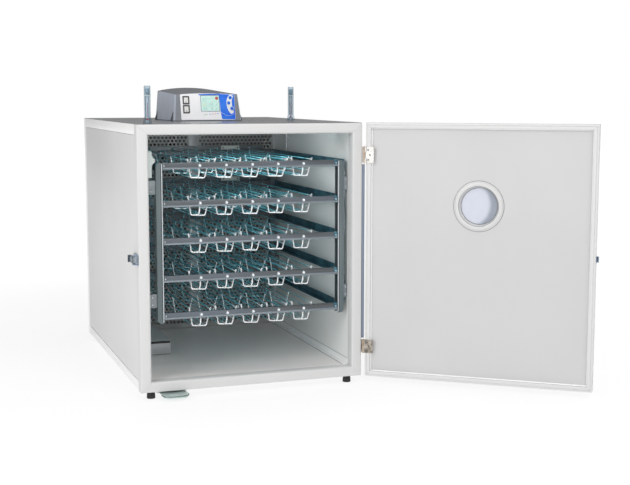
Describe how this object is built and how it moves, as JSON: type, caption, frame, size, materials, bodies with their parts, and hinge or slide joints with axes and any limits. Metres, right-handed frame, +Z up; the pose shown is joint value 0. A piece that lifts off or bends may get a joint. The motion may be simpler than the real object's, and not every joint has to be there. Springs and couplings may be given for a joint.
{
  "type": "egg incubator",
  "caption": "Cabinet egg incubator with an open side-hinged door and round window, tilting wire egg cradles in a rack, fan, water tray and roof control unit.",
  "frame": {"origin": "centre of the cabinet's underside, in the plane of its lower edges; the feet go 20 mm below it", "axes": "+Z up, +X to the right as seen from the front, -Y out of the door opening"},
  "size_m": [1.07, 1.1596, 0.7603],
  "materials": {
    "white_profile": "satin white lacquer",
    "pale_panel": "smooth pale grey laminate",
    "grey_roof": "glossy mid grey sheet",
    "foot_rubber": "matt black rubber",
    "zinc_steel": "bright blue-passivated zinc plate",
    "nickel_steel": "nickel plate",
    "grey_abs": "fine moulded texture",
    "fan_plastic": "moulded black",
    "white_plastic": "moulded white",
    "blue_plastic": "membrane blue",
    "pane": "clear with a blue-grey cast",
    "clear_tube": "clear tube",
    "aluminium": "mill finish sheet",
    "pale_tab": "pale translucent sheet"
  },
  "bodies": {
    "cabinet": {"front_frame": "white_profile", "left_side_panel": "white_profile", "right_side_panel": "white_profile", "top_panel": "grey_roof", "bottom_panel": "white_profile", "back_panel": "pale_panel", "foot_front_left": "foot_rubber", "foot_front_right": "foot_rubber", "foot_rear_left": "foot_rubber", "foot_rear_right": "foot_rubber", "upper_hinge_cabinet_leaf": "nickel_steel", "lower_hinge_cabinet_leaf": "nickel_steel", "control_housing": "grey_abs", "thermometer_left": "clear_tube", "thermometer_right": "clear_tube", "fan_partition": "aluminium", "tray_rack": "zinc_steel", "gearmotor": "white_plastic"},
    "door": {"door_frame": "white_profile", "door_panel": "pale_panel", "window_ring": "white_plastic", "window_glass": "pane", "upper_hinge_door_leaf": "nickel_steel", "lower_hinge_door_leaf": "nickel_steel"},
    "latch": {"latch_lever": "nickel_steel"},
    "upper_rocker": {"rocker_switch_upper": "white_plastic"},
    "lower_rocker": {"rocker_switch_lower": "white_plastic"},
    "up_button": {"button_up": "blue_plastic"},
    "set_button": {"button_set": "blue_plastic"},
    "down_button": {"button_down": "blue_plastic"},
    "fan": {"fan_rotor": "fan_plastic"},
    "water_tray": {"water_tray": "aluminium"},
    "drip_slide": {"drip_slide": "pale_tab"},
    "tilt_link": {"tilt_link_frame": "zinc_steel"},
    "drive_shaft": {"drive_shaft": "zinc_steel"},
    "cradle_L1_C1": {"egg_cradle_L1_C1": "zinc_steel"},
    "cradle_L1_C2": {"egg_cradle_L1_C2": "zinc_steel"},
    "cradle_L1_C3": {"egg_cradle_L1_C3": "zinc_steel"},
    "cradle_L1_C4": {"egg_cradle_L1_C4": "zinc_steel"},
    "cradle_L1_C5": {"egg_cradle_L1_C5": "zinc_steel"},
    "cradle_L2_C1": {"egg_cradle_L2_C1": "zinc_steel"},
    "cradle_L2_C2": {"egg_cradle_L2_C2": "zinc_steel"},
    "cradle_L2_C3": {"egg_cradle_L2_C3": "zinc_steel"},
    "cradle_L2_C4": {"egg_cradle_L2_C4": "zinc_steel"},
    "cradle_L2_C5": {"egg_cradle_L2_C5": "zinc_steel"},
    "cradle_L3_C1": {"egg_cradle_L3_C1": "zinc_steel"},
    "cradle_L3_C2": {"egg_cradle_L3_C2": "zinc_steel"},
    "cradle_L3_C3": {"egg_cradle_L3_C3": "zinc_steel"},
    "cradle_L3_C4": {"egg_cradle_L3_C4": "zinc_steel"},
    "cradle_L3_C5": {"egg_cradle_L3_C5": "zinc_steel"},
    "cradle_L4_C1": {"egg_cradle_L4_C1": "zinc_steel"},
    "cradle_L4_C2": {"egg_cradle_L4_C2": "zinc_steel"},
    "cradle_L4_C3": {"egg_cradle_L4_C3": "zinc_steel"},
    "cradle_L4_C4": {"egg_cradle_L4_C4": "zinc_steel"},
    "cradle_L4_C5": {"egg_cradle_L4_C5": "zinc_steel"},
    "cradle_L5_C1": {"egg_cradle_L5_C1": "zinc_steel"},
    "cradle_L5_C2": {"egg_cradle_L5_C2": "zinc_steel"},
    "cradle_L5_C3": {"egg_cradle_L5_C3": "zinc_steel"},
    "cradle_L5_C4": {"egg_cradle_L5_C4": "zinc_steel"},
    "cradle_L5_C5": {"egg_cradle_L5_C5": "zinc_steel"}
  },
  "joints": [
    {"name": "door_swing", "type": "hinge", "parent": "cabinet", "child": "door", "pos_m": [0.291, -0.405, 0.325], "axis": [0, 0, 1], "range_deg": [-142.4, 30]},
    {"name": "latch_turn", "type": "hinge", "parent": "cabinet", "child": "latch", "pos_m": [-0.2965, -0.39, 0.3255], "axis": [0, 0, 1], "range_deg": [0, 180]},
    {"name": "rocker_upper_tip", "type": "hinge", "parent": "cabinet", "child": "upper_rocker", "pos_m": [-0.099, -0.11398, 0.70418], "axis": [1, 0, 0], "range_deg": [-16, 0]},
    {"name": "rocker_lower_tip", "type": "hinge", "parent": "cabinet", "child": "lower_rocker", "pos_m": [-0.099, -0.11898, 0.68068], "axis": [1, 0, 0], "range_deg": [-16, 0]},
    {"name": "button_up_press", "type": "slide", "parent": "cabinet", "child": "up_button", "axis": [0, 0.9781, -0.2079], "range_m": [0, 0.001]},
    {"name": "button_set_press", "type": "slide", "parent": "cabinet", "child": "set_button", "axis": [0, 0.9781, -0.2079], "range_m": [0, 0.001]},
    {"name": "button_down_press", "type": "slide", "parent": "cabinet", "child": "down_button", "axis": [0, 0.9781, -0.2079], "range_m": [0, 0.001]},
    {"name": "fan_spin", "type": "hinge", "parent": "cabinet", "child": "fan", "pos_m": [-0.055, 0.308, 0.535], "axis": [0, 1, 0], "continuous": true},
    {"name": "tray_pull", "type": "slide", "parent": "cabinet", "child": "water_tray", "axis": [0, -1, 0], "range_m": [0, 0.29]},
    {"name": "drip_pull", "type": "slide", "parent": "cabinet", "child": "drip_slide", "axis": [0, -1, 0], "range_m": [-0.024, 0.09]},
    {"name": "tilt_link_slide", "type": "slide", "parent": "cabinet", "child": "tilt_link", "axis": [1, 0, 0], "range_m": [-0.01132, 0.0099]},
    {"name": "shaft_turn", "type": "hinge", "parent": "cabinet", "child": "drive_shaft", "pos_m": [-0.2445, 0, 0.575], "axis": [0, 1, 0], "range_deg": [-48, 42]},
    {"name": "tilt_L1_C1", "type": "hinge", "parent": "cabinet", "child": "cradle_L1_C1", "pos_m": [-0.1271, 0, 0.18], "axis": [0, 1, 0], "range_deg": [-48, 42]},
    {"name": "tilt_L1_C2", "type": "hinge", "parent": "cabinet", "child": "cradle_L1_C2", "pos_m": [-0.0603, 0, 0.18], "axis": [0, 1, 0], "range_deg": [-48, 42]},
    {"name": "tilt_L1_C3", "type": "hinge", "parent": "cabinet", "child": "cradle_L1_C3", "pos_m": [0.0065, 0, 0.18], "axis": [0, 1, 0], "range_deg": [-48, 42]},
    {"name": "tilt_L1_C4", "type": "hinge", "parent": "cabinet", "child": "cradle_L1_C4", "pos_m": [0.0733, 0, 0.18], "axis": [0, 1, 0], "range_deg": [-48, 42]},
    {"name": "tilt_L1_C5", "type": "hinge", "parent": "cabinet", "child": "cradle_L1_C5", "pos_m": [0.1401, 0, 0.18], "axis": [0, 1, 0], "range_deg": [-48, 42]},
    {"name": "tilt_L2_C1", "type": "hinge", "parent": "cabinet", "child": "cradle_L2_C1", "pos_m": [-0.1271, 0, 0.272], "axis": [0, 1, 0], "range_deg": [-48, 42]},
    {"name": "tilt_L2_C2", "type": "hinge", "parent": "cabinet", "child": "cradle_L2_C2", "pos_m": [-0.0603, 0, 0.272], "axis": [0, 1, 0], "range_deg": [-48, 42]},
    {"name": "tilt_L2_C3", "type": "hinge", "parent": "cabinet", "child": "cradle_L2_C3", "pos_m": [0.0065, 0, 0.272], "axis": [0, 1, 0], "range_deg": [-48, 42]},
    {"name": "tilt_L2_C4", "type": "hinge", "parent": "cabinet", "child": "cradle_L2_C4", "pos_m": [0.0733, 0, 0.272], "axis": [0, 1, 0], "range_deg": [-48, 42]},
    {"name": "tilt_L2_C5", "type": "hinge", "parent": "cabinet", "child": "cradle_L2_C5", "pos_m": [0.1401, 0, 0.272], "axis": [0, 1, 0], "range_deg": [-48, 42]},
    {"name": "tilt_L3_C1", "type": "hinge", "parent": "cabinet", "child": "cradle_L3_C1", "pos_m": [-0.1271, 0, 0.364], "axis": [0, 1, 0], "range_deg": [-48, 42]},
    {"name": "tilt_L3_C2", "type": "hinge", "parent": "cabinet", "child": "cradle_L3_C2", "pos_m": [-0.0603, 0, 0.364], "axis": [0, 1, 0], "range_deg": [-48, 42]},
    {"name": "tilt_L3_C3", "type": "hinge", "parent": "cabinet", "child": "cradle_L3_C3", "pos_m": [0.0065, 0, 0.364], "axis": [0, 1, 0], "range_deg": [-48, 42]},
    {"name": "tilt_L3_C4", "type": "hinge", "parent": "cabinet", "child": "cradle_L3_C4", "pos_m": [0.0733, 0, 0.364], "axis": [0, 1, 0], "range_deg": [-48, 42]},
    {"name": "tilt_L3_C5", "type": "hinge", "parent": "cabinet", "child": "cradle_L3_C5", "pos_m": [0.1401, 0, 0.364], "axis": [0, 1, 0], "range_deg": [-48, 42]},
    {"name": "tilt_L4_C1", "type": "hinge", "parent": "cabinet", "child": "cradle_L4_C1", "pos_m": [-0.1271, 0, 0.456], "axis": [0, 1, 0], "range_deg": [-48, 42]},
    {"name": "tilt_L4_C2", "type": "hinge", "parent": "cabinet", "child": "cradle_L4_C2", "pos_m": [-0.0603, 0, 0.456], "axis": [0, 1, 0], "range_deg": [-48, 42]},
    {"name": "tilt_L4_C3", "type": "hinge", "parent": "cabinet", "child": "cradle_L4_C3", "pos_m": [0.0065, 0, 0.456], "axis": [0, 1, 0], "range_deg": [-48, 42]},
    {"name": "tilt_L4_C4", "type": "hinge", "parent": "cabinet", "child": "cradle_L4_C4", "pos_m": [0.0733, 0, 0.456], "axis": [0, 1, 0], "range_deg": [-48, 42]},
    {"name": "tilt_L4_C5", "type": "hinge", "parent": "cabinet", "child": "cradle_L4_C5", "pos_m": [0.1401, 0, 0.456], "axis": [0, 1, 0], "range_deg": [-48, 42]},
    {"name": "tilt_L5_C1", "type": "hinge", "parent": "cabinet", "child": "cradle_L5_C1", "pos_m": [-0.1271, 0, 0.548], "axis": [0, 1, 0], "range_deg": [-48, 42]},
    {"name": "tilt_L5_C2", "type": "hinge", "parent": "cabinet", "child": "cradle_L5_C2", "pos_m": [-0.0603, 0, 0.548], "axis": [0, 1, 0], "range_deg": [-48, 42]},
    {"name": "tilt_L5_C3", "type": "hinge", "parent": "cabinet", "child": "cradle_L5_C3", "pos_m": [0.0065, 0, 0.548], "axis": [0, 1, 0], "range_deg": [-48, 42]},
    {"name": "tilt_L5_C4", "type": "hinge", "parent": "cabinet", "child": "cradle_L5_C4", "pos_m": [0.0733, 0, 0.548], "axis": [0, 1, 0], "range_deg": [-48, 42]},
    {"name": "tilt_L5_C5", "type": "hinge", "parent": "cabinet", "child": "cradle_L5_C5", "pos_m": [0.1401, 0, 0.548], "axis": [0, 1, 0], "range_deg": [-48, 42]}
  ],
  "couplings": [
    {"joint": "shaft_turn", "follows": "tilt_link_slide", "rad_per_m": 74},
    {"joint": "tilt_L1_C1", "follows": "tilt_link_slide", "rad_per_m": 74},
    {"joint": "tilt_L1_C2", "follows": "tilt_link_slide", "rad_per_m": 74},
    {"joint": "tilt_L1_C3", "follows": "tilt_link_slide", "rad_per_m": 74},
    {"joint": "tilt_L1_C4", "follows": "tilt_link_slide", "rad_per_m": 74},
    {"joint": "tilt_L1_C5", "follows": "tilt_link_slide", "rad_per_m": 74},
    {"joint": "tilt_L2_C1", "follows": "tilt_link_slide", "rad_per_m": 74},
    {"joint": "tilt_L2_C2", "follows": "tilt_link_slide", "rad_per_m": 74},
    {"joint": "tilt_L2_C3", "follows": "tilt_link_slide", "rad_per_m": 74},
    {"joint": "tilt_L2_C4", "follows": "tilt_link_slide", "rad_per_m": 74},
    {"joint": "tilt_L2_C5", "follows": "tilt_link_slide", "rad_per_m": 74},
    {"joint": "tilt_L3_C1", "follows": "tilt_link_slide", "rad_per_m": 74},
    {"joint": "tilt_L3_C2", "follows": "tilt_link_slide", "rad_per_m": 74},
    {"joint": "tilt_L3_C3", "follows": "tilt_link_slide", "rad_per_m": 74},
    {"joint": "tilt_L3_C4", "follows": "tilt_link_slide", "rad_per_m": 74},
    {"joint": "tilt_L3_C5", "follows": "tilt_link_slide", "rad_per_m": 74},
    {"joint": "tilt_L4_C1", "follows": "tilt_link_slide", "rad_per_m": 74},
    {"joint": "tilt_L4_C2", "follows": "tilt_link_slide", "rad_per_m": 74},
    {"joint": "tilt_L4_C3", "follows": "tilt_link_slide", "rad_per_m": 74},
    {"joint": "tilt_L4_C4", "follows": "tilt_link_slide", "rad_per_m": 74},
    {"joint": "tilt_L4_C5", "follows": "tilt_link_slide", "rad_per_m": 74},
    {"joint": "tilt_L5_C1", "follows": "tilt_link_slide", "rad_per_m": 74},
    {"joint": "tilt_L5_C2", "follows": "tilt_link_slide", "rad_per_m": 74},
    {"joint": "tilt_L5_C3", "follows": "tilt_link_slide", "rad_per_m": 74},
    {"joint": "tilt_L5_C4", "follows": "tilt_link_slide", "rad_per_m": 74},
    {"joint": "tilt_L5_C5", "follows": "tilt_link_slide", "rad_per_m": 74}
  ]
}
